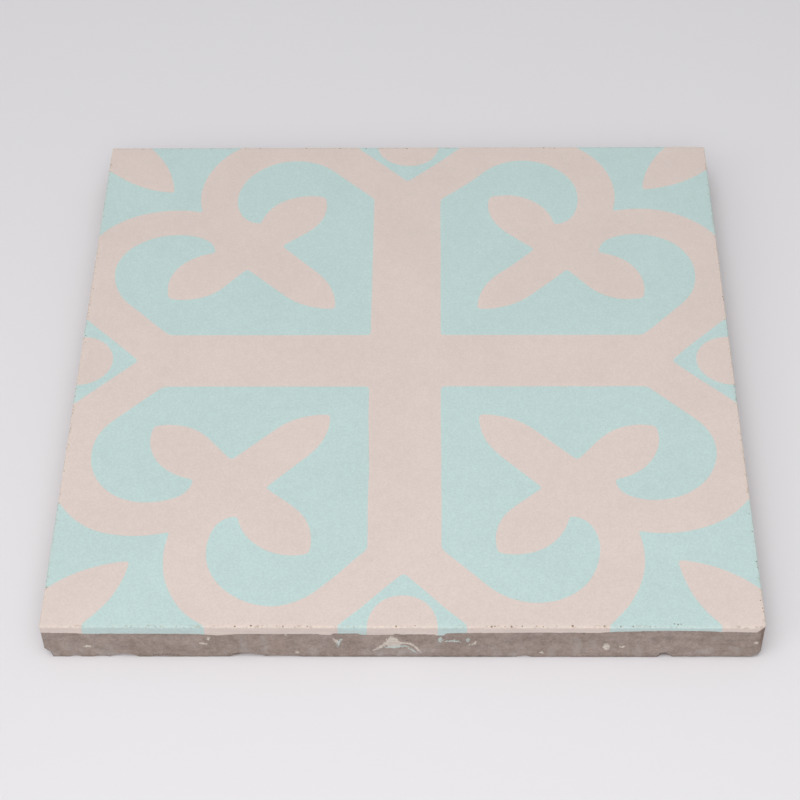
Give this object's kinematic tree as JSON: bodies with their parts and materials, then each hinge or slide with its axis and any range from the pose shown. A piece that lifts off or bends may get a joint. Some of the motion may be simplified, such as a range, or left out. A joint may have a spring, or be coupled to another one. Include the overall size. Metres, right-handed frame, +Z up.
{
  "type": "square cement tile",
  "caption": "Square encaustic cement tile: a grey mortar backing with a thin face layer of pink and mint mortar inlaid as a traditional cross, loop and petal pattern",
  "frame": {"origin": "middle of the bedding face, the underside that the tile lies on", "axes": "+Z up out of the patterned face, X and Y along the sides, with the chipped front edge at -Y"},
  "size_m": [0.2, 0.2, 0.014],
  "materials": {
    "grey_mortar": "rough sandy cement mortar with slurry splashes",
    "pink_mortar": "matt pigmented cement, fine sandy grain",
    "mint_mortar": "matt pigmented cement, fine sandy grain"
  },
  "bodies": {
    "root": {"backing_mortar": "grey_mortar", "pink_inlay": "pink_mortar", "mint_inlay": "mint_mortar"}
  },
  "joints": []
}
